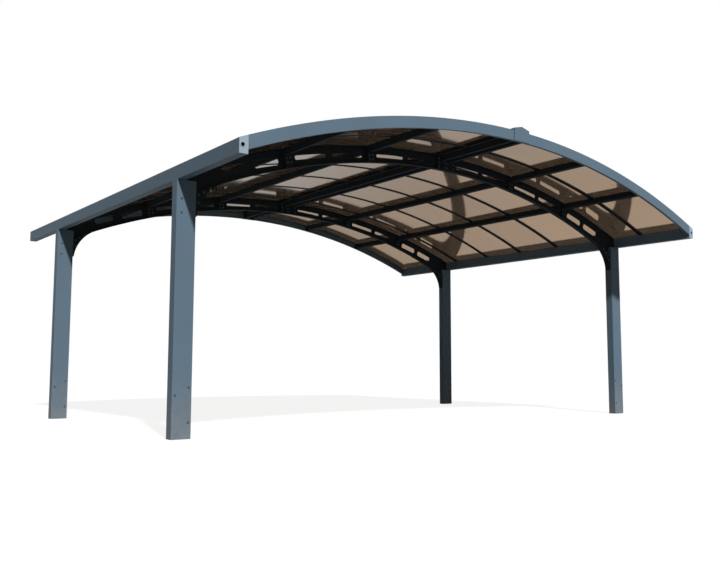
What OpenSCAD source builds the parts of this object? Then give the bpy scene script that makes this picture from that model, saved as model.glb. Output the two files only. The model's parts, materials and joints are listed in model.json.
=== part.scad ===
// Arched double carport: four hollow posts, two slotted arch trusses, purlins,
// curved fascias, eave gutters and a bronze multiwall sheet roof.
// The origin is on the ground in the middle. +X runs along the span, +Y to the back.

/* [Roof] */
// Width over the outer faces of the gutters
roof_w = 5840; // [5000:10:6600]
// Depth over the outer faces of the two fascias
roof_d = 4960; // [4200:10:5600]
// Height of the top of the fascia at the ridge
ridge_h = 2702; // [2600:2:2900]
// Height of the top of the gutter
eave_h = 2120; // [2050:2:2250]

/* [Posts] */
// Post width, seen from the front
post_w = 163; // [140:1:190]
// Post depth, front to back
post_d = 85; // [75:1:100]
// Wall of the post tube
post_wall = 3; // [2:0.5:5]
// How far the post stands out past the gutter
post_proud = 2; // [0:1:26]
// Distance between the middles of the front and back posts
post_pitch = 2932; // [2600:2:3300]
// Thickness of the plate that closes the post top
post_cap_t = 6; // [4:1:10]

/* [Post feet] */
// Thickness of the sole plate inside the post
foot_t = 6; // [4:1:10]
// Height of the two upright flanges
foot_h = 440; // [160:10:500]
// Thickness of the flanges
foot_flange_t = 4; // [3:0.5:6]
// Diameter of the ground anchor holes
anchor_hole_d = 14; // [10:1:18]
// Distance between the two ground anchor holes
anchor_pitch = 90; // [70:1:100]

/* [Trusses] */
// Truss thickness, front to back
truss_t = 50; // [40:1:65]
// Sheet thickness of the truss web and flanges
truss_wall = 3; // [2:0.5:4]
// Truss depth below the fascia top at the ridge
truss_drop_ridge = 168; // [150:1:190]
// Truss depth below the fascia top at the haunch
truss_drop_haunch = 228; // [215:1:250]
// Gap between the two truss halves at the ridge
truss_joint = 2; // [1:0.5:6]
// Height of the slots next to the ridge
slot_h_upper = 30; // [20:1:40]
// Height of the slots in the middle bay
slot_h_middle = 38; // [25:1:50]
// Height of the slots next to the haunch
slot_h_lower = 65; // [45:1:75]
// Depth of the slot tops below the fascia top
slot_drop = 93; // [88:1:100]
// Web left between the two slots of a bay
slot_bridge = 66; // [40:1:80]
// Web from the middle of the arch to its first slot
slot_ridge_web = 165; // [150:1:200]
// Web from a purlin down to the first slot of the next bay
slot_lead = 84; // [70:1:110]
// Web from the second slot of a bay down to the next purlin
slot_tail = 98; // [80:1:130]
// Web from the lowest slot to the post
slot_haunch_web = 212; // [180:2:260]
// Length of the splice plates at the ridge
splice_l = 230; // [190:5:280]
// Thickness of the splice plates and purlin brackets
plate_t = 4; // [3:0.5:6]

/* [Knee brackets] */
// Straight length of the upright leg below the curve
knee_foot_l = 10; // [4:1:40]
// Height of the knee bracket's inner end
knee_end_h = 22; // [18:1:40]
// Least height of the knee bracket halfway along its reach
knee_mid_h = 36; // [24:1:60]
// Radius of the knee curve
knee_r = 262; // [240:2:270]
// Width of the upright leg along the post
knee_leg = 20; // [15:1:30]
// How far the knee bracket reaches in from the post
knee_reach = 215; // [180:5:230]
// Thickness of the knee bracket, front to back
knee_t = 56; // [52:1:80]

/* [Purlins] */
// Purlin width
purlin_w = 45; // [35:1:60]
// Purlin depth
purlin_h = 62; // [50:1:64]
// Wall of the purlin tube
purlin_wall = 2.5; // [1.5:0.5:4]
// Distance along the roof from one purlin to the next
purlin_pitch = 949; // [870:1:970]
// Distance of the ridge purlins from the middle
ridge_purlin_x = 52; // [45:1:65]
// Width of a purlin bracket on the truss
bracket_w = 76; // [60:1:100]

/* [Gutters] */
// Gutter width
gutter_w = 70; // [60:1:100]
// Gutter height
gutter_h = 110; // [100:1:130]
// Gutter wall
gutter_wall = 3; // [2:0.5:5]
// Lip turned in along the gutter top
gutter_lip = 12; // [8:1:20]
// Thickness of the gutter end caps
end_cap_t = 6; // [4:1:10]
// Diameter of the drain hole in the end caps
drain_d = 30; // [18:1:34]
// Distance of the drain hole from the gutter's outer face
drain_in = 26; // [22:1:40]
// Height of the drain hole above the gutter floor
drain_h = 62; // [40:1:76]

/* [Fascias] */
// Height of the fascia band
fascia_h = 96; // [90:1:120]
// Wall of the fascia
fascia_wall = 3; // [2:0.5:5]
// Return along the fascia's lower edge
fascia_return = 28; // [18:1:40]

/* [Ridge] */
// Width of the ridge cover
ridge_w = 200; // [150:2:210]
// Height of the ridge cover's peak above the fascia top
ridge_peak = 44; // [30:1:60]
// Height of the ridge cover's shoulders above the fascia top
ridge_shoulder = 20; // [16:1:26]
// Wall of the ridge cover
ridge_wall = 3; // [2:0.5:4]
// Half the gap between the left and right roof sheets
ridge_gap = 22; // [18:1:30]
// Wall of the ridge end caps
ridge_cap_t = 4; // [3:0.5:6]
// How far the ridge end caps stand out from the fascias
ridge_cap_d = 10; // [8:1:40]

/* [Sheets] */
// Thickness of the multiwall roof sheet
sheet_t = 6; // [4:0.5:10]
// Depth of the top of the sheets below the fascia top
sheet_drop = 12; // [10:1:16]
// Sheets in each half of the roof
sheet_count = 8; // [6:1:10]
// Width of the flanges of the glazing bars
bar_w = 44; // [20:1:60]
// Thickness of the flanges and web of the glazing bars
bar_t = 3; // [2:0.5:3]
// Depth of the groove in the fascia that holds a sheet
groove_d = 26; // [18:1:34]
// How far the sheets reach out over the gutter
sheet_overhang = 34; // [20:1:44]

/* [Clearances] */
// Fit between curved faces that lie on each other
fit = 0.3; // [0.2:0.05:0.5]
// Fit between the edge of a sheet and the bottom of its groove
edge_fit = 0.8; // [0.5:0.1:0.9]

/* [Hidden] */
arc_fn = 720;
hole_fn = 48;
slot_fn = 48;

half_w = roof_w / 2;
half_d = roof_d / 2;
rise = ridge_h - eave_h;
roof_r = (half_w * half_w + rise * rise) / (2 * rise);
arc_z = ridge_h - roof_r;
far = 2 * ridge_h;

post_h = eave_h - gutter_h;
post_out_x = half_w + post_proud;
post_in_x = post_out_x - post_w;
post_mid_x = post_out_x - post_w / 2;
truss_y = post_pitch / 2;

bar_low_drop = sheet_drop + sheet_t + fit + bar_t;
bar_top_drop = sheet_drop - fit - bar_t;
ridge_strip_w = 2 * ridge_purlin_x + purlin_w;
ridge_strip_top = arc_height(ridge_strip_w / 2, sheet_drop + sheet_t) - fit;
ridge_strip_low = ridge_strip_top - bar_t;
frame_drop = ridge_h - ridge_strip_low + fit;

gutter_in_x = half_w - gutter_w;
truss_end_x = gutter_in_x;
sheet_end_x = gutter_in_x + sheet_overhang;

// The lower edge of the truss is a rounder arc, so that the truss deepens to the haunch.
haunch_a = asin(post_in_x / roof_r);
low_lift = (truss_drop_haunch - truss_drop_ridge) / (1 - cos(haunch_a));
low_r = roof_r - truss_drop_ridge - low_lift;
low_z = arc_z + low_lift;
edge_trim = 1;
haunch_z = low_height(post_in_x) + edge_trim;

// The knee curve stays its set heights below the truss, whatever the roof's shape.
knee_curve_x = post_in_x - knee_leg - knee_r;
knee_end_x = post_in_x - knee_reach;
knee_mid_x = post_in_x - knee_reach / 2;
function knee_curve_h(x) = sqrt(knee_r * knee_r - pow(x - knee_curve_x, 2));
function knee_edge_z(x) = low_height(x) - fit - edge_trim;
knee_top_z = knee_edge_z(knee_end_x);
knee_spring_z = min(
    knee_top_z - knee_end_h - knee_curve_h(knee_end_x),
    knee_edge_z(knee_mid_x) - knee_mid_h - knee_curve_h(knee_mid_x)
);
knee_foot_z = knee_spring_z - knee_foot_l;

fascia_y = half_d - fascia_wall;
bracket_y = truss_t / 2 + plate_t;
bracket_fit = 1.5;

function arc_angle(along) = along / roof_r * 180 / PI;
function arc_height(x, drop) = arc_z + sqrt((roof_r - drop) * (roof_r - drop) - x * x);
function low_height(x) = low_z + sqrt(low_r * low_r - x * x);
function arc_angle_at(x, drop) = asin(x / (roof_r - drop));
function purlin_along(row) = ridge_purlin_x + row * purlin_pitch;
function joint_y(k) = -fascia_y + k * 2 * fascia_y / sheet_count;

paint = [0.36, 0.43, 0.49];
shade_paint = [0.22, 0.27, 0.31];
bronze = [0.62, 0.52, 0.42, 0.6];
pale_grey = [0.72, 0.75, 0.77];
zinc = [0.6, 0.62, 0.63];

// A flat outline in the X-Z plane, given a depth from y_from to y_to
module across(y_from, y_to) {
    translate([0, y_to, 0])
        rotate([90, 0, 0])
            linear_extrude(y_to - y_from)
                children();
}

// The right half as drawn, or its mirror on the left
module on_side(side) {
    if (side < 0)
        mirror([1, 0, 0]) children();
    else
        children();
}

// Disc under the roof arc, lowered by a drop
module roof_disc(drop) {
    translate([0, arc_z])
        circle(r = roof_r - drop, $fn = arc_fn);
}

// Disc under the lower edge of the truss, pulled in by a gap
module low_disc(gap) {
    translate([0, low_z])
        circle(r = low_r - gap, $fn = arc_fn);
}

// Upright strip from x_from to x_to
module strip(x_from, x_to, z_from = 0) {
    translate([x_from, z_from])
        square([x_to - x_from, far]);
}

// Revolves a section round the axis of the roof arc, between two angles from the ridge.
// The section's first coordinate is the height over the roof arc, its second is y.
module roof_sweep(a_from, a_to) {
    translate([0, 0, arc_z])
        rotate([90, 0, 0])
            rotate([0, 0, 90 - a_to])
                rotate_extrude(angle = a_to - a_from, $fn = arc_fn)
                    translate([roof_r, 0])
                        mirror([0, 1])
                            children();
}

// Rectangle of a section, between two drops below the roof arc
module drop_band(drop_top, drop_low, y_from, y_to) {
    translate([-drop_low, y_from])
        square([drop_low - drop_top, y_to - y_from]);
}

// Post: a rectangular tube with a plate across its top
module post(side, y_mid) {
    color(paint)
        translate([side * post_mid_x, y_mid, 0])
            difference() {
                translate([-post_w / 2, -post_d / 2, 0])
                    cube([post_w, post_d, post_h]);
                translate([-post_w / 2 + post_wall, -post_d / 2 + post_wall, -1])
                    cube([post_w - 2 * post_wall, post_d - 2 * post_wall, post_h - post_cap_t + 1]);
            }
}

// Foot: a channel inside the post, with two ground anchor holes in its sole
module foot() {
    foot_w = post_w - 2 * post_wall;
    foot_d = post_d - 2 * post_wall;
    difference() {
        translate([-foot_w / 2, -foot_d / 2, 0])
            cube([foot_w, foot_d, foot_h]);
        translate([-foot_w / 2 - 1, -foot_d / 2 + foot_flange_t, foot_t])
            cube([foot_w + 2, foot_d - 2 * foot_flange_t, foot_h]);
        for (hole_x = [-anchor_pitch / 2, anchor_pitch / 2])
            translate([hole_x, 0, -1])
                cylinder(d = anchor_hole_d, h = foot_t + 2, $fn = hole_fn);
    }
}

module post_feet() {
    color(zinc)
        for (side = [-1, 1], y_mid = [-truss_y, truss_y])
            translate([side * post_mid_x, y_mid, 0])
                foot();
}

// Outline of a truss half, pulled in by a wall on every edge
module truss_outline(wall) {
    intersection() {
        union() {
            difference() {
                roof_disc(frame_drop + wall);
                low_disc(-wall);
            }
            intersection() {
                roof_disc(frame_drop + wall);
                strip(post_in_x + wall, truss_end_x - wall, post_h + wall);
            }
        }
        union() {
            strip(truss_joint / 2 + wall, post_in_x + wall, haunch_z + wall);
            strip(post_in_x, truss_end_x - wall, post_h + wall);
        }
    }
}

// Slot with rounded ends that follows the roof arc
module arc_slot(along_from, along_to, slot_h) {
    end_r = slot_h * 0.6;
    mid_r = roof_r - slot_drop - slot_h / 2;
    a_from = arc_angle(along_from + end_r);
    a_to = arc_angle(along_to - end_r);
    intersection() {
        difference() {
            roof_disc(slot_drop);
            roof_disc(slot_drop + slot_h);
        }
        union() {
            translate([0, arc_z])
                polygon([[0, 0], [2 * roof_r * sin(a_from), 2 * roof_r * cos(a_from)],
                    [2 * roof_r * sin(a_to), 2 * roof_r * cos(a_to)]]);
            for (a = [a_from, a_to])
                translate([mid_r * sin(a), arc_z + mid_r * cos(a)])
                    circle(r = end_r, $fn = slot_fn);
        }
    }
}

// Two slots in each of the three bays between the ridge, the purlins and the haunch
module truss_slots() {
    haunch_along = haunch_a * PI / 180 * roof_r;
    bay_starts = [slot_ridge_web, purlin_along(1) + slot_lead, purlin_along(2) + slot_lead];
    bay_ends = [purlin_along(1) - slot_tail, purlin_along(2) - slot_tail, haunch_along - slot_haunch_web];
    slot_heights = [slot_h_upper, slot_h_middle, slot_h_lower];
    for (bay = [0 : 2]) {
        slot_l = (bay_ends[bay] - bay_starts[bay] - slot_bridge) / 2;
        arc_slot(bay_starts[bay], bay_starts[bay] + slot_l, slot_heights[bay]);
        arc_slot(bay_ends[bay] - slot_l, bay_ends[bay], slot_heights[bay]);
    }
}

// Truss half: an arched I-section with flanges all round and slots through its web
module truss(side, y_mid) {
    color(shade_paint)
        on_side(side)
            difference() {
                across(y_mid - truss_t / 2, y_mid + truss_t / 2)
                    truss_outline(0);
                across(y_mid - truss_t, y_mid - truss_wall / 2)
                    truss_outline(truss_wall);
                across(y_mid + truss_wall / 2, y_mid + truss_t)
                    truss_outline(truss_wall);
                across(y_mid - truss_t, y_mid + truss_t)
                    truss_slots();
            }
}

// Outline of a plate on the truss, square to the roof at a distance along it
module web_plate(along, plate_w) {
    low_drop = truss_drop_ridge + (truss_drop_haunch - truss_drop_ridge) * pow(along / post_in_x, 2);
    plate_drop = frame_drop + bracket_fit;
    plate_h = low_drop - plate_drop - 2 * bracket_fit;
    translate([0, arc_z])
        rotate(-arc_angle(along))
            translate([-plate_w / 2, roof_r - plate_drop - plate_h])
                square([plate_w, plate_h]);
}

// The plates on both webs of a truss
module on_both_webs(y_mid) {
    for (face = [-1, 1])
        across(
            y_mid + (face < 0 ? -bracket_y : truss_t / 2),
            y_mid + (face < 0 ? -truss_t / 2 : bracket_y))
            children();
}

module truss_splices() {
    color(shade_paint)
        for (y_mid = [-truss_y, truss_y])
            on_both_webs(y_mid)
                web_plate(0, splice_l);
}

module purlin_brackets(y_mid) {
    color(shade_paint)
        for (side = [-1, 1], row = [1, 2])
            on_both_webs(y_mid)
                web_plate(side * purlin_along(row), bracket_w);
}

// Outline of a knee bracket, pulled in by a wall from its curved edge
module knee_outline(wall) {
    difference() {
        intersection() {
            low_disc(fit);
            translate([knee_end_x, knee_foot_z + wall])
                square([knee_reach, knee_top_z - knee_foot_z - wall]);
        }
        translate([knee_curve_x, knee_spring_z])
            circle(r = knee_r + wall, $fn = arc_fn / 4);
        translate([knee_curve_x - knee_r, 0])
            square([2 * knee_r + wall, knee_spring_z]);
    }
}

// Knee bracket: two cheeks joined by a curved flange, open to the post and the truss
module knee(side, y_mid) {
    color(shade_paint)
        on_side(side)
            difference() {
                across(y_mid - knee_t / 2, y_mid + knee_t / 2)
                    knee_outline(0);
                across(y_mid - knee_t / 2 + truss_wall, y_mid + knee_t / 2 - truss_wall)
                    knee_outline(truss_wall);
            }
}

// Hollow rectangular section, drawn down from the middle of its top face
module purlin_section() {
    translate([-purlin_w / 2, -purlin_h])
        difference() {
            square([purlin_w, purlin_h]);
            translate([purlin_wall, purlin_wall])
                square([purlin_w - 2 * purlin_wall, purlin_h - 2 * purlin_wall]);
        }
}

// A purlin in three lengths: front overhang, middle bay and back overhang
module purlin_lengths() {
    color(shade_paint) {
        across(-fascia_y, -truss_y - bracket_y)
            purlin_section();
        across(-truss_y + bracket_y, truss_y - bracket_y)
            purlin_section();
        across(truss_y + bracket_y, fascia_y)
            purlin_section();
    }
}

// A purlin square to the roof, at a distance along it from the ridge
module purlin(side, along) {
    translate([0, 0, arc_z])
        rotate([0, side * arc_angle(along), 0])
            translate([0, 0, roof_r - frame_drop])
                purlin_lengths();
}

// A level purlin under the clamping strip of the ridge cover
module ridge_purlin(side) {
    translate([side * ridge_purlin_x, 0, ridge_strip_low])
        purlin_lengths();
}

// Gutter: a trough with a tall outer wall and a lip turned in along its top
module gutter_outline() {
    inner_top = arc_height(gutter_in_x + gutter_wall, frame_drop);
    difference() {
        translate([gutter_in_x, post_h])
            square([gutter_w, gutter_h]);
        translate([gutter_in_x + gutter_wall, post_h + gutter_wall])
            square([gutter_w - 2 * gutter_wall, gutter_h - 2 * gutter_wall]);
        translate([gutter_in_x - 1, inner_top])
            square([gutter_w - gutter_wall - gutter_lip + 1, far]);
        translate([gutter_in_x + gutter_wall, eave_h - 2 * gutter_wall])
            square([gutter_w - gutter_wall - gutter_lip - gutter_wall, far]);
    }
}

module gutter(side) {
    color(paint)
        on_side(side)
            across(-half_d + end_cap_t, half_d - end_cap_t)
                gutter_outline();
}

// End cap with a drain hole, closing a gutter end
module end_cap() {
    difference() {
        across(0, end_cap_t)
            polygon([
                [gutter_in_x, post_h],
                [half_w, post_h],
                [half_w, eave_h],
                [gutter_in_x, arc_height(gutter_in_x, 0)]
            ]);
        translate([half_w - drain_in, -1, post_h + drain_h])
            rotate([-90, 0, 0])
                cylinder(d = drain_d, h = end_cap_t + 2, $fn = hole_fn);
    }
}

module gutter_end_caps() {
    color(pale_grey)
        for (side = [-1, 1])
            on_side(side) {
                translate([0, -half_d, 0])
                    end_cap();
                translate([0, half_d - end_cap_t, 0])
                    end_cap();
            }
}

// Fascia half: a curved band with a groove for the sheets and a return along its lower edge
module fascia(side, end) {
    a_joint = arc_angle_at(truss_joint / 2, fascia_h);
    a_groove = arc_angle_at(ridge_w / 2 + edge_fit, fascia_h);
    a_end = arc_angle_at(gutter_in_x, fascia_h);
    color(paint)
        on_side(side)
            mirror([0, end > 0 ? 1 : 0, 0])
                intersection() {
                    union() {
                        roof_sweep(a_joint, a_end)
                            fascia_band();
                        roof_sweep(a_groove, a_end)
                            fascia_groove();
                    }
                    translate([0, -roof_d, 0])
                        cube([gutter_in_x, 2 * roof_d, far]);
                }
}

// Section of the front fascia: the band and its return
module fascia_band() {
    drop_band(0, fascia_h, -half_d, -fascia_y);
    drop_band(fascia_h - fascia_wall, fascia_h, -half_d, -half_d + fascia_return);
}

// Section of the front fascia: the two lips of the sheet groove
module fascia_groove() {
    drop_band(bar_top_drop, bar_top_drop + bar_t, -half_d, -half_d + groove_d);
    drop_band(bar_low_drop - bar_t, bar_low_drop, -half_d, -half_d + groove_d);
}

// Height of the sloping top of the ridge cover
function gable_z(x) = ridge_h + ridge_peak - (ridge_peak - ridge_shoulder) * abs(x) / (ridge_w / 2);

// A list of points on the right, and the same points mirrored to close the outline
function both_sides(points) =
    concat(points, [for (k = [len(points) - 1 : -1 : 0]) [-points[k][0], points[k][1]]]);

// Ridge cover: a gable over the sheet ends, two webs and a clamping strip below
module ridge_cover() {
    edge_x = ridge_w / 2;
    edge_z = arc_height(edge_x, sheet_drop) + fit;
    lip_x = edge_x - ridge_wall;
    web_out_x = ridge_gap - edge_fit;
    web_in_x = web_out_x - ridge_wall;
    color(paint)
        across(-fascia_y, fascia_y)
            difference() {
                polygon(both_sides([
                    [ridge_strip_w / 2, ridge_strip_low],
                    [ridge_strip_w / 2, ridge_strip_top],
                    [web_out_x, ridge_strip_top],
                    [web_out_x, gable_z(web_out_x) - ridge_wall],
                    [lip_x, gable_z(lip_x) - ridge_wall],
                    [lip_x, edge_z],
                    [edge_x, edge_z],
                    [edge_x, gable_z(edge_x)],
                    [0, gable_z(0)]
                ]));
                polygon(both_sides([
                    [web_in_x, ridge_strip_top],
                    [web_in_x, gable_z(web_in_x) - ridge_wall],
                    [0, gable_z(0) - ridge_wall]
                ]));
            }
}

// Outline of a ridge end cap, pulled in by a wall on every edge
module ridge_cap_outline(wall) {
    edge_x = ridge_w / 2 - wall;
    polygon(both_sides([
        [edge_x, arc_height(ridge_w / 2, fascia_h) + wall],
        [edge_x, gable_z(edge_x) - 1.1 * wall],
        [0, gable_z(0) - 1.1 * wall]
    ]));
}

// Hollow cap over the joint of two fascia halves, with the gable of the ridge cover on top
module ridge_cap(end) {
    color(paint)
        mirror([0, end > 0 ? 1 : 0, 0])
            difference() {
                across(-half_d - ridge_cap_d, -half_d)
                    ridge_cap_outline(0);
                across(-half_d - ridge_cap_d + ridge_cap_t, -half_d + 1)
                    ridge_cap_outline(ridge_cap_t);
            }
}

// Section of a glazing bar: an I that holds the edges of two sheets
module bar_section() {
    drop_band(bar_top_drop, bar_low_drop, -bar_t / 2, bar_t / 2);
    drop_band(bar_top_drop, bar_top_drop + bar_t, -bar_w / 2, bar_w / 2);
    drop_band(bar_low_drop - bar_t, bar_low_drop, -bar_w / 2, bar_w / 2);
}

module glazing_bars(side) {
    color(shade_paint)
        on_side(side)
            for (k = [1 : sheet_count - 1])
                translate([0, joint_y(k), 0])
                    roof_sweep(
                        arc_angle_at(ridge_w / 2 + edge_fit, bar_low_drop),
                        arc_angle_at(sheet_end_x, bar_top_drop))
                        bar_section();
}

// Curved sheets from the ridge to the gutter, one in each bay between glazing bars
module roof_sheets(side) {
    web_fit = bar_t / 2 + edge_fit;
    color(bronze)
        on_side(side)
            for (k = [0 : sheet_count - 1])
                roof_sweep(
                    arc_angle_at(ridge_gap, sheet_drop + sheet_t),
                    arc_angle_at(sheet_end_x, sheet_drop))
                    drop_band(
                        sheet_drop, sheet_drop + sheet_t,
                        joint_y(k) + (k == 0 ? edge_fit : web_fit),
                        joint_y(k + 1) - (k == sheet_count - 1 ? edge_fit : web_fit));
}

post(-1, -truss_y);  // post_front_left
post(1, -truss_y);  // post_front_right
post(-1, truss_y);  // post_back_left
post(1, truss_y);  // post_back_right
post_feet();
truss(-1, -truss_y);  // truss_front_left
truss(1, -truss_y);  // truss_front_right
truss(-1, truss_y);  // truss_back_left
truss(1, truss_y);  // truss_back_right
truss_splices();
knee(-1, -truss_y);  // knee_front_left
knee(1, -truss_y);  // knee_front_right
knee(-1, truss_y);  // knee_back_left
knee(1, truss_y);  // knee_back_right
purlin(-1, purlin_along(2));  // purlin_left_lower
purlin(-1, purlin_along(1));  // purlin_left_upper
purlin(1, purlin_along(2));  // purlin_right_lower
purlin(1, purlin_along(1));  // purlin_right_upper
ridge_purlin(-1);  // ridge_purlin_left
ridge_purlin(1);  // ridge_purlin_right
purlin_brackets(-truss_y);  // purlin_brackets_front
purlin_brackets(truss_y);  // purlin_brackets_back
gutter(-1);  // gutter_left
gutter(1);  // gutter_right
gutter_end_caps();
fascia(-1, -1);  // fascia_front_left
fascia(1, -1);  // fascia_front_right
fascia(-1, 1);  // fascia_back_left
fascia(1, 1);  // fascia_back_right
ridge_cover();
ridge_cap(-1);  // ridge_cap_front
ridge_cap(1);  // ridge_cap_back
glazing_bars(-1);  // glazing_bars_left
glazing_bars(1);  // glazing_bars_right
roof_sheets(-1);  // roof_sheets_left
roof_sheets(1);  // roof_sheets_right
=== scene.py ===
"""Dresses an arched double carport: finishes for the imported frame, the curve of its knee brackets,
and the fasteners, seals and end profiles that are too fine for the solid model."""

import json
import math

import bmesh
import bpy
from bpy.props import FloatProperty, FloatVectorProperty, IntProperty, PointerProperty
from mathutils import Matrix, Vector


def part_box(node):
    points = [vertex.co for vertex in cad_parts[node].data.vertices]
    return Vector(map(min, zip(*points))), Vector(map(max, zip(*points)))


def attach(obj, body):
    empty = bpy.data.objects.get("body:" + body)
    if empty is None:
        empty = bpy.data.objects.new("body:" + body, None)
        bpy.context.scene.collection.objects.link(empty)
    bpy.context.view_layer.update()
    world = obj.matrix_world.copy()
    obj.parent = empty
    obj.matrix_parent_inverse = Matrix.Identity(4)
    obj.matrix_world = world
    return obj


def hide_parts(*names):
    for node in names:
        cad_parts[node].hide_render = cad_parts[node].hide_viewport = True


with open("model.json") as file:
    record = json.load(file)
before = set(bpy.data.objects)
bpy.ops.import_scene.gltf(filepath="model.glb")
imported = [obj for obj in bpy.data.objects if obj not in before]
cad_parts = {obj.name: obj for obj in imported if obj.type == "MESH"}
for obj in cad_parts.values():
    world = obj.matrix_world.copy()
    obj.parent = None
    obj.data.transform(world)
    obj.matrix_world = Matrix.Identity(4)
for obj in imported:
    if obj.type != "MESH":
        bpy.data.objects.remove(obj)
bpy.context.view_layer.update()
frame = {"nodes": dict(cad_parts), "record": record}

bl_info = {
    "name": "Arched carport dressing",
    "version": (1, 0, 0),
    "blender": (4, 5, 0),
    "location": "View3D > Sidebar > Carport",
    "description": "Finishes, knee brackets, fasteners and seals for an arched double carport",
    "category": "Object",
}

SIDES = {"left": -1, "right": 1}
ENDS = ("front", "back")


def linear(hex_colour):
    """Turns an sRGB hex colour into linear red, green and blue."""
    channels = [int(hex_colour[k:k + 2], 16) / 255 for k in (1, 3, 5)]
    return [c / 12.92 if c <= 0.04045 else ((c + 0.055) / 1.055) ** 2.4 for c in channels]


def roof_arc():
    """Height of the centre and radius of the arc that the fascia tops follow."""
    fascia_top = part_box("fascia_front_right")[1].z
    gutter_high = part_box("gutter_right")[1]
    rise = fascia_top - gutter_high.z
    radius = (gutter_high.x ** 2 + rise ** 2) / (2 * rise)
    return fascia_top - radius, radius


ARC_Z, ARC_R = roof_arc()


def on_arc(along, drop, y):
    """Point at a distance along the roof from the ridge and a drop below the fascia top."""
    angle = along / ARC_R
    reach = ARC_R - drop
    return Vector((reach * math.sin(angle), y, ARC_Z + reach * math.cos(angle)))


def along_at(x):
    """Distance along the roof from the ridge to a distance across it."""
    return ARC_R * math.asin(x / ARC_R)


def drop_of(x, z):
    """Drop below the fascia top of a point across and above the ground."""
    return ARC_R - math.hypot(x, z - ARC_Z)


class CarportSizes(bpy.types.PropertyGroup):
    """Sizes of the fasteners, seals, end profiles and knee brackets."""

    screw_flats: FloatProperty(
        name="Screw head", description="Width of a screw head across its flats",
        default=0.013, unit="LENGTH")
    screw_head: FloatProperty(
        name="Screw head height", description="Height of a screw head above its washer",
        default=0.0055, unit="LENGTH")
    washer_d: FloatProperty(
        name="Washer", description="Diameter of the washer pressed on a screw",
        default=0.022, unit="LENGTH")
    washer_t: FloatProperty(
        name="Washer thickness", description="Thickness of the washer pressed on a screw",
        default=0.0022, unit="LENGTH")
    sheets: IntProperty(
        name="Sheets", description="Roof sheets in each half of the roof", default=8)
    sheet_t: FloatProperty(
        name="Sheet thickness", description="Thickness of a roof sheet",
        default=0.006, unit="LENGTH")
    bar_w: FloatProperty(
        name="Glazing bar", description="Width of a glazing bar's flanges",
        default=0.044, unit="LENGTH")
    seal_w: FloatProperty(
        name="Seal", description="Width of the seal beside a glazing bar",
        default=0.012, unit="LENGTH")
    seal_t: FloatProperty(
        name="Seal thickness", description="Thickness of the seal beside a glazing bar",
        default=0.003, unit="LENGTH")
    end_profile_l: FloatProperty(
        name="End profile", description="Depth of the profile on the lower end of a sheet",
        default=0.018, unit="LENGTH")
    end_profile_t: FloatProperty(
        name="End profile wall", description="Wall of the profile on the lower end of a sheet",
        default=0.0015, unit="LENGTH")
    truss_ridge: FloatProperty(
        name="Truss at the ridge", description="Depth of the trusses below the fascia top at the ridge",
        default=0.168, unit="LENGTH")
    truss_haunch: FloatProperty(
        name="Truss at the posts", description="Depth of the trusses below the fascia top at the posts",
        default=0.228, unit="LENGTH")
    knee_reach: FloatProperty(
        name="Knee reach", description="How far a knee bracket runs along the truss from its post",
        default=0.245, unit="LENGTH")
    knee_leg: FloatProperty(
        name="Knee foot", description="Thickness of a knee bracket at its foot",
        default=0.016, unit="LENGTH")
    knee_wall: FloatProperty(
        name="Knee wall", description="Thickness of the folded steel of a knee bracket",
        default=0.003, unit="LENGTH")
    drain_d: FloatProperty(
        name="Drain hole", description="Diameter of the drain hole in a gutter end cap",
        default=0.030, unit="LENGTH")
    drain_in: FloatProperty(
        name="Drain hole inset", description="Distance of a drain hole from the gutter's outer face",
        default=0.026, unit="LENGTH")
    drain_h: FloatProperty(
        name="Drain hole height", description="Height of a drain hole above the gutter floor",
        default=0.062, unit="LENGTH")
    collar_w: FloatProperty(
        name="Drain collar", description="Width of the collar around a drain hole",
        default=0.005, unit="LENGTH")
    collar_t: FloatProperty(
        name="Drain collar height", description="How far the collar stands out from the end cap",
        default=0.003, unit="LENGTH")
    edge_r: FloatProperty(
        name="Edge radius", description="Radius of the edges of the extruded profiles",
        default=0.0025, unit="LENGTH")


class CarportColours(bpy.types.PropertyGroup):
    """Colours of the finishes."""

    paint: FloatVectorProperty(
        name="Paint", description="Powder coat of the posts, gutters and fascias",
        default=linear("#5f7281"), subtype="COLOR", min=0, max=1)
    # The frame paint is the posts' slate coat drawn darker. This is painted shade, standing in for the
    # shade under the roof on the trusses, purlins and knee brackets.
    frame_paint: FloatVectorProperty(
        name="Frame paint", description="Powder coat of the trusses and purlins",
        default=linear("#232a2f"), subtype="COLOR", min=0, max=1)
    sheet: FloatVectorProperty(
        name="Sheet", description="Tint of the bronze roof sheets",
        default=linear("#b49b82"), subtype="COLOR", min=0, max=1)
    bar: FloatVectorProperty(
        name="Glazing bar", description="Finish of the glazing bars",
        default=linear("#171412"), subtype="COLOR", min=0, max=1)
    cap: FloatVectorProperty(
        name="End cap", description="Moulded gutter end caps",
        default=linear("#93a3b0"), subtype="COLOR", min=0, max=1)
    zinc: FloatVectorProperty(
        name="Zinc", description="Galvanised post feet",
        default=linear("#9aa0a3"), subtype="COLOR", min=0, max=1)
    screw: FloatVectorProperty(
        name="Screw", description="Coated screw heads",
        default=linear("#4b5963"), subtype="COLOR", min=0, max=1)
    seal: FloatVectorProperty(
        name="Seal", description="Rubber seals of the roof sheets",
        default=linear("#1b1b1c"), subtype="COLOR", min=0, max=1)
    floor: FloatVectorProperty(
        name="Floor", description="Pale studio floor",
        default=linear("#7b7b79"), subtype="COLOR", min=0, max=1)


def sizes():
    """The sizes that the user may change."""
    return bpy.context.scene.carport_sizes


def colours():
    """The colours that the user may change."""
    return bpy.context.scene.carport_colours


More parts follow.
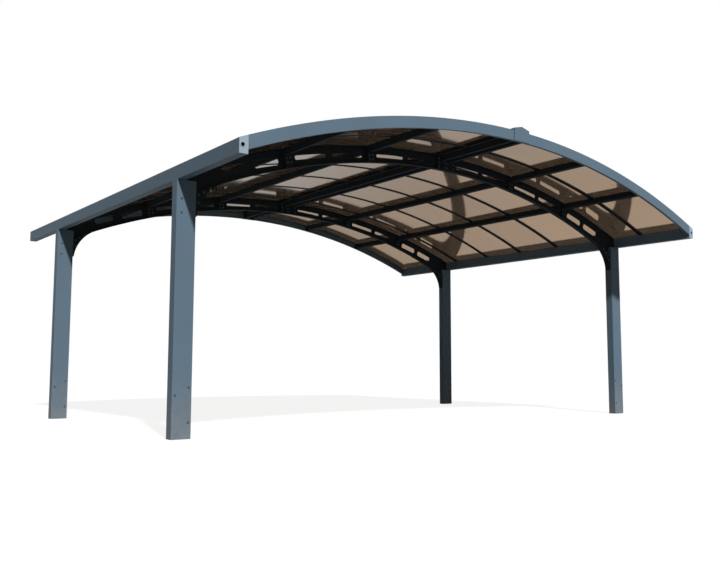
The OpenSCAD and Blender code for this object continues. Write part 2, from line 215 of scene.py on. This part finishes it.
def add_node(tree, kind, inputs=None, **settings):
    """Adds a shader node with its settings, and sets or links each of its inputs."""
    made = tree.nodes.new(kind)
    for name, value in settings.items():
        setattr(made, name, value)
    for name, value in (inputs or {}).items():
        if isinstance(value, bpy.types.NodeSocket):
            tree.links.new(value, made.inputs[name])
        else:
            made.inputs[name].default_value = value
    return made


def new_material(name):
    """An empty material, and the node tree to fill."""
    material = bpy.data.materials.new(name)
    material.use_nodes = True
    material.node_tree.nodes.clear()
    return material, material.node_tree


def rgba(colour, gain=1.0):
    """A colour made lighter or darker, as the four numbers that a socket takes."""
    return (*[min(1.0, c * gain) for c in colour], 1.0)


def worn_edges(tree, radius):
    """How worn the coat is: 0 where the face lies flat within the radius, 1 on a sharp edge."""
    face = add_node(tree, "ShaderNodeNewGeometry").outputs["Normal"]
    rounded = add_node(tree, "ShaderNodeBevel", {"Radius": radius}, samples=4).outputs["Normal"]
    likeness = add_node(tree, "ShaderNodeVectorMath", {0: face, 1: rounded}, operation="DOT_PRODUCT")
    # Normals that agree to 8 degrees count as flat, and those 41 degrees apart as an edge.
    return add_node(
        tree, "ShaderNodeMapRange",
        {"Value": likeness.outputs["Value"], "From Min": 0.99, "From Max": 0.75}).outputs["Result"]


def powder_coat(name, colour, dust_height, roughness, sheen):
    """Powder-coated metal: a fine orange peel, faint clouds, dust near the ground, rubbed edges.

    The eye gets a soft, even sheen that breaks up a little where the coat is thicker or dusty.
    """
    material, tree = new_material(name)
    place = add_node(tree, "ShaderNodeTexCoord").outputs["Object"]
    # The lumps of the orange peel are 2 mm wide, drawn 6 mm wide so that they show.
    peel = add_node(tree, "ShaderNodeTexNoise", {"Vector": place, "Scale": 1 / 0.006, "Detail": 2.0})
    # Clouds in the coat are about 400 mm wide.
    cloud = add_node(tree, "ShaderNodeTexNoise", {"Vector": place, "Scale": 1 / 0.4, "Detail": 3.0})
    tone = add_node(
        tree, "ShaderNodeMix",
        {"Factor": cloud.outputs["Fac"], "A": rgba(colour, 0.90), "B": rgba(colour, 1.10)},
        data_type="RGBA")
    # Splashed dust hides up to 45 percent at the ground and fades upwards, in patches of 60 mm.
    height = add_node(tree, "ShaderNodeSeparateXYZ", {"Vector": place})
    low = add_node(
        tree, "ShaderNodeMapRange",
        {"Value": height.outputs["Z"], "From Min": dust_height, "From Max": 0.0,
         "To Min": 0.0, "To Max": 0.45})
    patch = add_node(tree, "ShaderNodeTexNoise", {"Vector": place, "Scale": 1 / 0.06, "Detail": 4.0})
    dust = add_node(
        tree, "ShaderNodeMath", {0: low.outputs["Result"], 1: patch.outputs["Fac"]},
        operation="MULTIPLY")
    dusty = add_node(
        tree, "ShaderNodeMix",
        {"Factor": dust.outputs["Value"], "A": tone.outputs["Result"], "B": rgba(linear("#a89f92"))},
        data_type="RGBA")
    # The coat is rubbed paler over 4 mm along the edges, in patches as long as the dust's.
    rubbed = add_node(
        tree, "ShaderNodeMath", {0: worn_edges(tree, 0.004), 1: patch.outputs["Fac"]},
        operation="MULTIPLY")
    worn = add_node(
        tree, "ShaderNodeMix",
        {"Factor": rubbed.outputs["Value"], "A": dusty.outputs["Result"], "B": rgba(colour, 1.6)},
        data_type="RGBA")
    gloss = add_node(
        tree, "ShaderNodeMapRange",
        {"Value": cloud.outputs["Fac"], "To Min": roughness - 0.07, "To Max": roughness + 0.07})
    bump = add_node(
        tree, "ShaderNodeBump",
        {"Height": peel.outputs["Fac"], "Strength": 0.12, "Distance": 0.0006})
    shader = add_node(
        tree, "ShaderNodeBsdfPrincipled",
        {"Base Color": worn.outputs["Result"], "Roughness": gloss.outputs["Result"],
         "IOR": 1.5, "Specular IOR Level": sheen, "Normal": bump.outputs["Normal"]})
    add_node(tree, "ShaderNodeOutputMaterial", {"Surface": shader.outputs["BSDF"]})
    return material


def multiwall_polycarbonate(name, colour):
    """Extruded bronze polycarbonate with a sun-reflecting layer.

    The eye gets a brown see-through sheet that mirrors the posts, with fine flutes along it.
    """
    material, tree = new_material(name)
    place = add_node(tree, "ShaderNodeTexCoord").outputs["Object"]
    # The walls between flutes are 6 mm apart, drawn 18 mm apart so that they show.
    flute = add_node(
        tree, "ShaderNodeTexWave", {"Vector": place, "Scale": 2 * math.pi / (20 * 0.018)},
        wave_type="BANDS", bands_direction="Y", wave_profile="SIN")
    # Draw lines of the extruder: streaks 30 mm wide and about 1 m long.
    stretch = add_node(
        tree, "ShaderNodeMapping", {"Vector": place, "Scale": (1 / 1.0, 1 / 0.03, 1 / 1.0)})
    streak = add_node(
        tree, "ShaderNodeTexNoise", {"Vector": stretch.outputs["Vector"], "Scale": 1.0, "Detail": 2.0})
    pattern = add_node(
        tree, "ShaderNodeMath", {0: flute.outputs["Fac"], 1: streak.outputs["Fac"]},
        operation="MULTIPLY")
    tint = add_node(
        tree, "ShaderNodeMix",
        {"Factor": pattern.outputs["Value"], "A": rgba(colour, 1.05), "B": rgba(colour, 0.82)},
        data_type="RGBA")
    # Each sheet is a little lighter or darker than the next, as batches of sheet are.
    batch = add_node(
        tree, "ShaderNodeMapRange",
        {"Value": add_node(tree, "ShaderNodeNewGeometry").outputs["Random Per Island"],
         "To Min": 0.93, "To Max": 1.07})
    tone = add_node(
        tree, "ShaderNodeVectorMath",
        {0: tint.outputs["Result"], 1: batch.outputs["Result"]}, operation="MULTIPLY")
    bump = add_node(
        tree, "ShaderNodeBump",
        {"Height": flute.outputs["Fac"], "Strength": 0.03, "Distance": 0.0004})
    shader = add_node(
        tree, "ShaderNodeBsdfPrincipled",
        {"Base Color": tone.outputs["Vector"], "Roughness": 0.07, "IOR": 1.58,
         "Metallic": 0.65, "Specular Tint": (0.4, 0.4, 0.4, 1.0), "Transmission Weight": 0.95,
         "Normal": bump.outputs["Normal"]})
    add_node(tree, "ShaderNodeOutputMaterial", {"Surface": shader.outputs["BSDF"]})
    return material


def moulded_plastic(name, colour, roughness):
    """Moulded plastic or rubber, with a spark-eroded grain from the mould that dulls its shine."""
    material, tree = new_material(name)
    place = add_node(tree, "ShaderNodeTexCoord").outputs["Object"]
    # The grain of the mould is 0.5 mm, drawn 2 mm wide so that it shows.
    grain = add_node(tree, "ShaderNodeTexNoise", {"Vector": place, "Scale": 1 / 0.002, "Detail": 1.0})
    flow = add_node(tree, "ShaderNodeTexNoise", {"Vector": place, "Scale": 1 / 0.05, "Detail": 2.0})
    tone = add_node(
        tree, "ShaderNodeMix",
        {"Factor": flow.outputs["Fac"], "A": rgba(colour, 0.93), "B": rgba(colour, 1.07)},
        data_type="RGBA")
    bump = add_node(
        tree, "ShaderNodeBump",
        {"Height": grain.outputs["Fac"], "Strength": 0.15, "Distance": 0.0003})
    shader = add_node(
        tree, "ShaderNodeBsdfPrincipled",
        {"Base Color": tone.outputs["Result"], "Roughness": roughness, "IOR": 1.5,
         "Normal": bump.outputs["Normal"]})
    add_node(tree, "ShaderNodeOutputMaterial", {"Surface": shader.outputs["BSDF"]})
    return material


def galvanised_steel(name, colour):
    """Hot-dip galvanised steel: a dull metal whose spangles are brighter or darker grey."""
    material, tree = new_material(name)
    place = add_node(tree, "ShaderNodeTexCoord").outputs["Object"]
    # Spangles are about 12 mm across.
    spangle = add_node(tree, "ShaderNodeTexVoronoi", {"Vector": place, "Scale": 1 / 0.012})
    value = add_node(tree, "ShaderNodeSeparateColor", {"Color": spangle.outputs["Color"]})
    tone = add_node(
        tree, "ShaderNodeMix",
        {"Factor": value.outputs["Red"], "A": rgba(colour, 0.8), "B": rgba(colour, 1.1)},
        data_type="RGBA")
    gloss = add_node(
        tree, "ShaderNodeMapRange",
        {"Value": value.outputs["Green"], "To Min": 0.35, "To Max": 0.55})
    shader = add_node(
        tree, "ShaderNodeBsdfPrincipled",
        {"Base Color": tone.outputs["Result"], "Roughness": gloss.outputs["Result"], "Metallic": 1.0})
    add_node(tree, "ShaderNodeOutputMaterial", {"Surface": shader.outputs["BSDF"]})
    return material


def finish(name):
    """The material that an earlier step made."""
    return bpy.data.materials[name]


def new_piece(name, bm, material):
    """Turns a bmesh into a piece that rides with the carport."""
    bmesh.ops.recalc_face_normals(bm, faces=bm.faces)
    mesh = bpy.data.meshes.new(name)
    bm.to_mesh(mesh)
    bm.free()
    mesh.materials.append(material)
    piece = bpy.data.objects.new(name, mesh)
    bpy.context.scene.collection.objects.link(piece)
    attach(piece, "root")
    return piece


def bridge(bm, rings, closed_ends=True):
    """Joins rings of vertices, each as long as the next, into one skin."""
    count = len(rings[0])
    for near, far in zip(rings, rings[1:]):
        for k in range(count):
            n = (k + 1) % count
            bm.faces.new((near[k], near[n], far[n], far[k]))
    if closed_ends:
        bm.faces.new(rings[0][::-1])
        bm.faces.new(rings[-1])


SCREW_SIDES = 24
# Shares of a screw: the washer's upright rim and its top, the head's upright sides and its top.
WASHER_RIM, WASHER_TOP = 0.6, 0.92
HEAD_SIDES, HEAD_TOP = 0.8, 0.97


def hexagon_reach(angle, flats):
    """Distance from the middle of a hexagon to its outline."""
    sixth = math.pi / 3
    return flats / 2 / math.cos((angle % sixth) - sixth / 2)


def add_screw(bm, seat, axis, scale=1.0):
    """Adds a hexagon head with a chamfered top and a washer, seated on a point of a face."""
    size = sizes()
    flats, head = size.screw_flats * scale, size.screw_head * scale
    washer, thick = size.washer_d / 2 * scale, size.washer_t * scale
    turn = axis.to_track_quat("Z", "Y").to_matrix()
    angles = [2 * math.pi * k / SCREW_SIDES for k in range(SCREW_SIDES)]

    def ring(reach_of, height):
        return [
            bm.verts.new(seat + turn @ Vector((
                reach_of(a) * math.cos(a), reach_of(a) * math.sin(a), height)))
            for a in angles]

    bridge(bm, [
        ring(lambda a: washer, 0.0),
        ring(lambda a: washer, WASHER_RIM * thick),
        ring(lambda a: WASHER_TOP * washer, thick),
        ring(lambda a: hexagon_reach(a, flats), thick),
        ring(lambda a: hexagon_reach(a, flats), thick + HEAD_SIDES * head),
        ring(lambda a: HEAD_TOP * flats / 2, thick + head),
    ])


def sweep_along_roof(bm, section, along_from, along_to, steps):
    """Sweeps a closed section of y and drop pairs along the roof arc."""
    rings = []
    for k in range(steps + 1):
        along = along_from + (along_to - along_from) * k / steps
        rings.append([bm.verts.new(on_arc(along, drop, y)) for y, drop in section])
    bridge(bm, rings)


class CARPORT_OT_finishes(bpy.types.Operator):
    """Makes the finishes and gives each solid of the frame its own"""

    bl_idname = "carport.finishes"
    bl_label = "Finishes"

    def execute(self, context):
        colour = colours()
        by_slot = {
            "outer_paint": powder_coat(
                "powder_coated_aluminium", colour.paint, dust_height=0.5, roughness=0.60, sheen=0.10),
            # The trusses and purlins get the darker copy of the slate coat, which is painted shade.
            "frame_paint": powder_coat(
                "powder_coated_steel_painted_shade", colour.frame_paint, dust_height=0.5, roughness=0.80, sheen=0.06),
            "bar_finish": powder_coat(
                "bronze_coated_aluminium", colour.bar, dust_height=0.1, roughness=0.80, sheen=0.06),
            "bronze_sheet": multiwall_polycarbonate("bronze_polycarbonate", colour.sheet),
            "pale_cap": moulded_plastic("moulded_abs", colour.cap, roughness=0.45),
            "zinc_steel": galvanised_steel("galvanised_steel", colour.zinc),
        }
        powder_coat("coated_screw_steel", colour.screw, dust_height=0.1, roughness=0.57, sheen=0.25)
        moulded_plastic("epdm_rubber", colour.seal, roughness=0.7)
        for part in frame["record"]["subparts"]:
            shape = frame["nodes"][part["node"]].data
            shape.materials.clear()
            shape.materials.append(by_slot[part["material_slot"]])
        return {"FINISHED"}


class CARPORT_OT_post_screws(bpy.types.Operator):
    """Adds the screws that hold the feet and the truss ends in the posts"""

    bl_idname = "carport.post_screws"
    bl_label = "Post screws"

    # Out from the middle of the post, and up from the ground.
    head_places = ((0.038, 1.862), (0.038, 1.750))
    foot_places = ((-0.056, 0.394), (0.056, 0.335), (-0.056, 0.127))

    def execute(self, context):
        bm = bmesh.new()
        for side, out in SIDES.items():
            for end in ENDS:
                low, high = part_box(f"post_{end}_{side}")
                middle = (low.x + high.x) / 2
                for reach, height in self.head_places + self.foot_places:
                    for face, y in ((-1, low.y), (1, high.y)):
                        add_screw(bm, Vector((middle + out * reach, y, height)), Vector((0, face, 0)))
        new_piece("post_screws", bm, finish("coated_screw_steel"))
        return {"FINISHED"}


class CARPORT_OT_knee_brackets(bpy.types.Operator):
    """Makes the folded knee brackets, whose curve runs smoothly into the trusses"""

    bl_idname = "carport.knee_brackets"
    bl_label = "Knee brackets"

    # Steps along the curve, and the clearance to the post and the truss.
    steps = 32
    gap = 0.0003

    def truss_edge(self, post_x):
        """Height of the centre and radius of the arc along the lower edge of the trusses."""
        size = sizes()
        haunch = math.asin(post_x / ARC_R)
        lift = (size.truss_haunch - size.truss_ridge) / (1 - math.cos(haunch))
        return ARC_Z + lift, ARC_R - size.truss_ridge - lift

    def stations(self, post_x, foot_z):
        """Distance across, underside, channel floor and top at steps from the post to the tip."""
        size = sizes()
        edge_z, edge_r = self.truss_edge(post_x)

        def top(x):
            return edge_z + math.sqrt(edge_r ** 2 - x ** 2) - self.gap

        # One arc goes through the foot and touches the lower edge of the truss at the tip.
        foot = Vector((post_x - size.knee_leg, foot_z))
        tip_x = post_x - size.knee_reach
        tip = Vector((tip_x, top(tip_x)))
        away = (tip - Vector((0.0, edge_z))).normalized()
        chord = tip - foot
        radius = chord.length_squared / (2 * away.dot(chord))
        centre = tip - radius * away
        start = math.atan2(foot.y - centre.y, foot.x - centre.x)
        stop = math.atan2(away.y, away.x)
        made = [(post_x - self.gap, foot_z, foot_z + size.knee_wall, top(post_x - self.gap))]
        for k in range(self.steps + 1):
            angle = start + (stop - start) * k / self.steps
            x = centre.x + radius * math.cos(angle)
            z = centre.y + radius * math.sin(angle)
            floor = z + size.knee_wall / math.sin(angle)
            made.append((x, min(z, top(x) - 2 * self.gap), min(floor, top(x) - self.gap), top(x)))
        return made

    def channel(self, near, back, under, floor, top):
        """Outline of the open channel at one station, as pairs of y and height."""
        wall = sizes().knee_wall
        return (
            (near, top), (near, under), (back, under), (back, top),
            (back - wall, top), (back - wall, floor), (near + wall, floor), (near + wall, top))

    def execute(self, context):
        for side, out in SIDES.items():
            for end in ENDS:
                low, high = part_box(f"knee_{end}_{side}")
                post_x = max(abs(low.x), abs(high.x))
                bm = bmesh.new()
                bridge(bm, [
                    [bm.verts.new((out * x, y, z))
                     for y, z in self.channel(low.y, high.y, under, floor, top)]
                    for x, under, floor, top in self.stations(post_x, low.z)])
                # The knee brackets get the same darker coat, painted shade as on the trusses.
                bracket = new_piece(
                    f"knee_bracket_{end}_{side}", bm, finish("powder_coated_steel_painted_shade"))
                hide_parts(f"knee_{end}_{side}")
        return {"FINISHED"}


class CARPORT_OT_truss_bolts(bpy.types.Operator):
    """Adds the bolts of the ridge splices, purlin brackets and knee brackets"""

    bl_idname = "carport.truss_bolts"
    bl_label = "Truss bolts"

    splice_x = (-0.098, -0.014, 0.014, 0.098)
    splice_drops = (0.0315, 0.0745, 0.1185)
    bracket_across = (-0.02, 0.02)
    bracket_drops = (0.108, 0.148)
    plate_scale = 0.85
    # Shares of the solid knee's width from the post and of its height from its foot.
    knee_places = ((0.13, 0.40), (0.13, 0.62), (0.35, 0.72), (0.61, 0.845))
    knee_scale = 0.75

    def splice_seats(self, top, y):
        """Seats on one face of a ridge splice."""
        return [Vector((x, y, top - drop)) for x in self.splice_x for drop in self.splice_drops]

    def bracket_seats(self, y):
        """Seats on one face of the purlin brackets of a truss."""
        seats = []
        for side, out in SIDES.items():
            for row in ("upper", "lower"):
                low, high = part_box(f"purlin_{side}_{row}")
                along = out * along_at(abs(low.x + high.x) / 2)
                seats += [
                    on_arc(along + across, drop, y)
                    for across in self.bracket_across for drop in self.bracket_drops]
        return seats

    def knee_seats(self, end, face):
        """Seats on one cheek of both knee brackets of a truss."""
        seats = []
        for side, out in SIDES.items():
            low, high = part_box(f"knee_{end}_{side}")
            size = high - low
            post_x = high.x if out > 0 else low.x
            cheek_y = low.y if face < 0 else high.y
            seats += [
                Vector((post_x - out * reach * size.x, cheek_y, low.z + height * size.z))
                for reach, height in self.knee_places]
        return seats

    def execute(self, context):
        bm = bmesh.new()
        splice_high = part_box("truss_splices")[1]
        plate_t = splice_high.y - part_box("truss_back_right")[1].y
        for end in ENDS:
            low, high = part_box(f"truss_{end}_right")
            for face, y in ((-1, low.y - plate_t), (1, high.y + plate_t)):
                axis = Vector((0, face, 0))
                for seat in self.splice_seats(splice_high.z, y) + self.bracket_seats(y):
                    add_screw(bm, seat, axis, self.plate_scale)
                for seat in self.knee_seats(end, face):
                    add_screw(bm, seat, axis, self.knee_scale)
        new_piece("truss_bolts", bm, finish("coated_screw_steel"))
        return {"FINISHED"}


class CARPORT_OT_bar_seals(bpy.types.Operator):
    """Adds the rubber seals along both edges of each glazing bar"""

    bl_idname = "carport.bar_seals"
    bl_label = "Bar seals"

    steps = 48
    # How far a seal stops short of the ridge and of the gutter, and reaches under its bar.
    ridge_inset = 0.002
    gutter_inset = 0.004
    tuck = 0.001
    # Clearance to the sheet, and the slopes at the seal's lip and at its root.
    gap = 0.0004
    lip = 0.001
    root = 0.002

    def section(self, joint, edge, drop, down):
        """Outline of a seal beside a bar, above or below the sheet, as pairs of y and drop."""
        size = sizes()
        inner = joint + edge * (size.bar_w / 2 - self.tuck)
        outer = inner + edge * size.seal_w
        return [
            (inner, drop + down * self.gap),
            (outer, drop + down * self.gap),
            (outer - edge * self.lip, drop + down * size.seal_t / 2),
            (inner + edge * self.root, drop + down * size.seal_t),
            (inner, drop + down * size.seal_t),
        ]

    def execute(self, context):
        size = sizes()
        cover_low, cover_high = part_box("ridge_cover")
        for side, out in SIDES.items():
            low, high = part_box(f"glazing_bars_{side}")
            sheet_low, sheet_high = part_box(f"roof_sheets_{side}")
            inner = along_at(min(abs(low.x), abs(high.x)) + self.ridge_inset)
            outer = along_at(max(abs(low.x), abs(high.x)) - self.gutter_inset)
            under = drop_of(max(abs(sheet_low.x), abs(sheet_high.x)), sheet_low.z)
            bm = bmesh.new()
            for k in range(1, size.sheets):
                joint = cover_low.y + k * (cover_high.y - cover_low.y) / size.sheets
                for edge in (-1, 1):
                    for drop, down in ((under, 1), (under - size.sheet_t, -1)):
                        section = self.section(joint, edge, drop, down)
                        sweep_along_roof(bm, section, out * inner, out * outer, self.steps)
            new_piece(f"bar_seals_{side}", bm, finish("epdm_rubber"))
        return {"FINISHED"}


class CARPORT_OT_end_profiles(bpy.types.Operator):
    """Adds the channel profiles that close the lower ends of the roof sheets"""

    bl_idname = "carport.end_profiles"
    bl_label = "Sheet end profiles"

    # Clearance to the sheet, and to the glazing bars at both ends of a profile.
    gap = 0.0003
    bar_gap = 0.001

    def section(self, along, high, low):
        """Outline of a channel around the end of a sheet, as distances along and drops."""
        size = sizes()
        wall, start = size.end_profile_t, along - size.end_profile_l
        inside, outside = along + self.gap, along + self.gap + wall
        top, foot = high - self.gap, low + self.gap
        return [
            (start, top - wall), (outside, top - wall), (outside, foot + wall), (start, foot + wall),
            (start, foot), (inside, foot), (inside, top), (start, top)]

    def execute(self, context):
        size = sizes()
        cover_low, cover_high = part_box("ridge_cover")
        pitch = (cover_high.y - cover_low.y) / size.sheets
        for side, out in SIDES.items():
            sheet_low, sheet_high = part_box(f"roof_sheets_{side}")
            far = max(abs(sheet_low.x), abs(sheet_high.x))
            low = drop_of(far, sheet_low.z)
            along = ARC_R * math.asin(far / (ARC_R - low))
            section = self.section(along, low - size.sheet_t, low)
            edge = size.bar_w / 2 + self.bar_gap
            bm = bmesh.new()
            for k in range(size.sheets):
                near = cover_low.y + k * pitch + (edge if k else 2 * edge)
                back = cover_low.y + (k + 1) * pitch - (edge if k < size.sheets - 1 else 2 * edge)
                bridge(bm, [
                    [bm.verts.new(on_arc(out * reach, drop, y)) for reach, drop in section]
                    for y in (near, back)])
            new_piece(f"sheet_end_profiles_{side}", bm, finish("bronze_coated_aluminium"))
        return {"FINISHED"}


class CARPORT_OT_drain_collars(bpy.types.Operator):
    """Adds the collars around the drain holes in the gutter end caps"""

    bl_idname = "carport.drain_collars"
    bl_label = "Drain collars"

    sides = 40
    # Clearance to the drain hole, and the chamfer as a share of the collar's height.
    gap = 0.0003
    chamfer = 0.3

    def execute(self, context):
        size = sizes()
        low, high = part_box("gutter_end_caps")
        inner = size.drain_d / 2 + self.gap
        outer = inner + size.collar_w
        rise = size.collar_t
        cut = self.chamfer * rise
        outline = (
            (inner, 0.0), (inner, rise - cut), (inner + cut, rise),
            (outer - cut, rise), (outer, rise - cut), (outer, 0.0))
        bm = bmesh.new()
        for out in SIDES.values():
            for end, y in ((-1, low.y), (1, high.y)):
                rings = []
                for k in range(self.sides):
                    turn = 2 * math.pi * k / self.sides
                    rings.append([
                        bm.verts.new((
                            out * (high.x - size.drain_in) + reach * math.cos(turn), y + end * up,
                            low.z + size.drain_h + reach * math.sin(turn)))
                        for reach, up in outline])
                bridge(bm, [*rings, rings[0]], closed_ends=False)
        new_piece("drain_collars", bm, finish("moulded_abs"))
        return {"FINISHED"}


class CARPORT_OT_rounded_edges(bpy.types.Operator):
    """Rounds the edges of the extruded profiles, so that they catch the light"""

    bl_idname = "carport.rounded_edges"
    bl_label = "Rounded edges"

    profiles = ("post_front", "post_back", "gutter", "ridge", "purlin_left", "purlin_right")
    # Thin profiles have a smaller radius than the posts. Edges flatter than this stay as they are.
    thin_share = 0.4
    sharp = math.radians(40)

    def execute(self, context):
        for name, shape in frame["nodes"].items():
            if name.startswith(self.profiles):
                rounded = shape.modifiers.new("rounded_edges", "BEVEL")
                rounded.width = sizes().edge_r * (1.0 if name.startswith("post") else self.thin_share)
                rounded.segments = 2
                rounded.limit_method = "ANGLE"
                rounded.angle_limit = self.sharp
        return {"FINISHED"}


class CARPORT_OT_stage(bpy.types.Operator):
    """Adds the floor, the light, the white surroundings and the camera"""

    bl_idname = "carport.stage"
    bl_label = "Stage"

    # The floor's own glow brings it to white where the lamp reaches it.
    floor_half = 60.0
    floor_lift = 0.87
    # Direction to the lamp, its strength and the softness of its shadows.
    sun_towards = (-0.240, -0.757, 0.607)
    sun_strength = 3.65
    sun_angle = math.radians(3)
    fill = 0.12
    # The photo's viewpoint in metres, its angles and its lens for the sensor's width.
    eye = (-5.519, -7.153, 0.563)
    eye_yaw = math.radians(37.97)
    eye_pitch = math.radians(5.61)
    eye_roll = 0.0026
    lens = 39.54
    sensor = 36.0
    far_clip = 500.0

    def seen(self, tree):
        """One for the rays that show the background: straight, in gloss and through the sheets."""
        ray = add_node(tree, "ShaderNodeLightPath")
        seen = ray.outputs["Is Camera Ray"]
        for way in ("Is Glossy Ray", "Is Transmission Ray"):
            either = add_node(
                tree, "ShaderNodeMath", {0: seen, 1: ray.outputs[way]}, operation="MAXIMUM")
            seen = either.outputs["Value"]
        return seen

    def floor(self):
        """A pale floor that reads as white where the light is full, and keeps the shadow."""
        bm = bmesh.new()
        bmesh.ops.create_grid(bm, x_segments=1, y_segments=1, size=self.floor_half)
        mesh = bpy.data.meshes.new("studio_floor")
        bm.to_mesh(mesh)
        bm.free()
        plane = bpy.data.objects.new("studio_floor", mesh)
        bpy.context.scene.collection.objects.link(plane)
        material, tree = new_material("pale_floor_paint")
        diffuse = add_node(tree, "ShaderNodeBsdfDiffuse", {"Color": rgba(colours().floor)})
        seen = self.seen(tree)
        lift = add_node(tree, "ShaderNodeMapRange", {"Value": seen, "To Max": self.floor_lift})
        glow = add_node(tree, "ShaderNodeEmission", {"Strength": lift.outputs["Result"]})
        both = add_node(tree, "ShaderNodeAddShader", {0: diffuse.outputs[0], 1: glow.outputs[0]})
        add_node(tree, "ShaderNodeOutputMaterial", {"Surface": both.outputs[0]})
        mesh.materials.append(material)

    def surroundings(self, scene):
        """Even light from all round, seen as white by the eye, in gloss and through the sheets."""
        world = bpy.data.worlds.new("white_studio")
        world.use_nodes = True
        tree = world.node_tree
        tree.nodes.clear()
        seen = self.seen(tree)
        strength = add_node(tree, "ShaderNodeMapRange", {"Value": seen, "To Min": self.fill})
        sky = add_node(
            tree, "ShaderNodeBackground",
            {"Color": (1.0, 1.0, 1.0, 1.0), "Strength": strength.outputs["Result"]})
        add_node(tree, "ShaderNodeOutputWorld", {"Surface": sky.outputs["Background"]})
        scene.world = world

    def light(self, scene):
        """One soft lamp from the front left."""
        lamp = bpy.data.lights.new("key_light", "SUN")
        lamp.energy = self.sun_strength
        lamp.angle = self.sun_angle
        key = bpy.data.objects.new("key_light", lamp)
        key.rotation_mode = "QUATERNION"
        key.rotation_quaternion = Vector(self.sun_towards).to_track_quat("Z", "Y")
        scene.collection.objects.link(key)

    def camera(self, scene):
        """A camera at the height of a person crouching, in front of the left-hand post."""
        level = math.cos(self.eye_pitch)
        ahead = Vector((
            math.sin(self.eye_yaw) * level, math.cos(self.eye_yaw) * level, math.sin(self.eye_pitch)))
        right = Vector((math.cos(self.eye_yaw), -math.sin(self.eye_yaw), 0.0))
        up = right.cross(ahead)
        turn = Matrix((right, up, -ahead)).transposed() @ Matrix.Rotation(self.eye_roll, 3, "Z")
        data = bpy.data.cameras.new("eye")
        data.lens = self.lens
        data.sensor_width = self.sensor
        data.sensor_fit = "HORIZONTAL"
        data.clip_end = self.far_clip
        eye = bpy.data.objects.new("eye", data)
        eye.matrix_world = Matrix.Translation(self.eye) @ turn.to_4x4()
        scene.collection.objects.link(eye)
        scene.camera = eye

    def execute(self, context):
        scene = context.scene
        scene.view_settings.view_transform = "Standard"
        self.floor()
        self.surroundings(scene)
        self.light(scene)
        self.camera(scene)
        return {"FINISHED"}


STEPS = (
    CARPORT_OT_finishes,
    CARPORT_OT_post_screws,
    CARPORT_OT_knee_brackets,
    CARPORT_OT_truss_bolts,
    CARPORT_OT_bar_seals,
    CARPORT_OT_end_profiles,
    CARPORT_OT_drain_collars,
    CARPORT_OT_rounded_edges,
    CARPORT_OT_stage,
)


class CARPORT_PT_panel(bpy.types.Panel):
    """Lists the steps, sizes and colours of the carport"""

    bl_idname = "CARPORT_PT_panel"
    bl_label = "Carport"
    bl_space_type = "VIEW_3D"
    bl_region_type = "UI"
    bl_category = "Carport"

    def draw(self, context):
        for step in STEPS:
            self.layout.operator(step.bl_idname)
        for group in (context.scene.carport_sizes, context.scene.carport_colours):
            for name in group.__annotations__:
                self.layout.prop(group, name)


CLASSES = (CarportSizes, CarportColours, *STEPS, CARPORT_PT_panel)


def register():
    """Registers the classes and hangs the two groups of settings on the scene."""
    for made in CLASSES:
        bpy.utils.register_class(made)
    bpy.types.Scene.carport_sizes = PointerProperty(type=CarportSizes)
    bpy.types.Scene.carport_colours = PointerProperty(type=CarportColours)


def unregister():
    """Takes everything away again."""
    del bpy.types.Scene.carport_colours
    del bpy.types.Scene.carport_sizes
    for made in reversed(CLASSES):
        bpy.utils.unregister_class(made)


def main():
    """Dresses the carport step by step."""
    register()
    bpy.ops.carport.finishes()
    bpy.ops.carport.post_screws()
    bpy.ops.carport.knee_brackets()
    bpy.ops.carport.truss_bolts()
    bpy.ops.carport.bar_seals()
    bpy.ops.carport.end_profiles()
    bpy.ops.carport.drain_collars()
    bpy.ops.carport.rounded_edges()
    bpy.ops.carport.stage()


if __name__ == "__main__":
    main()
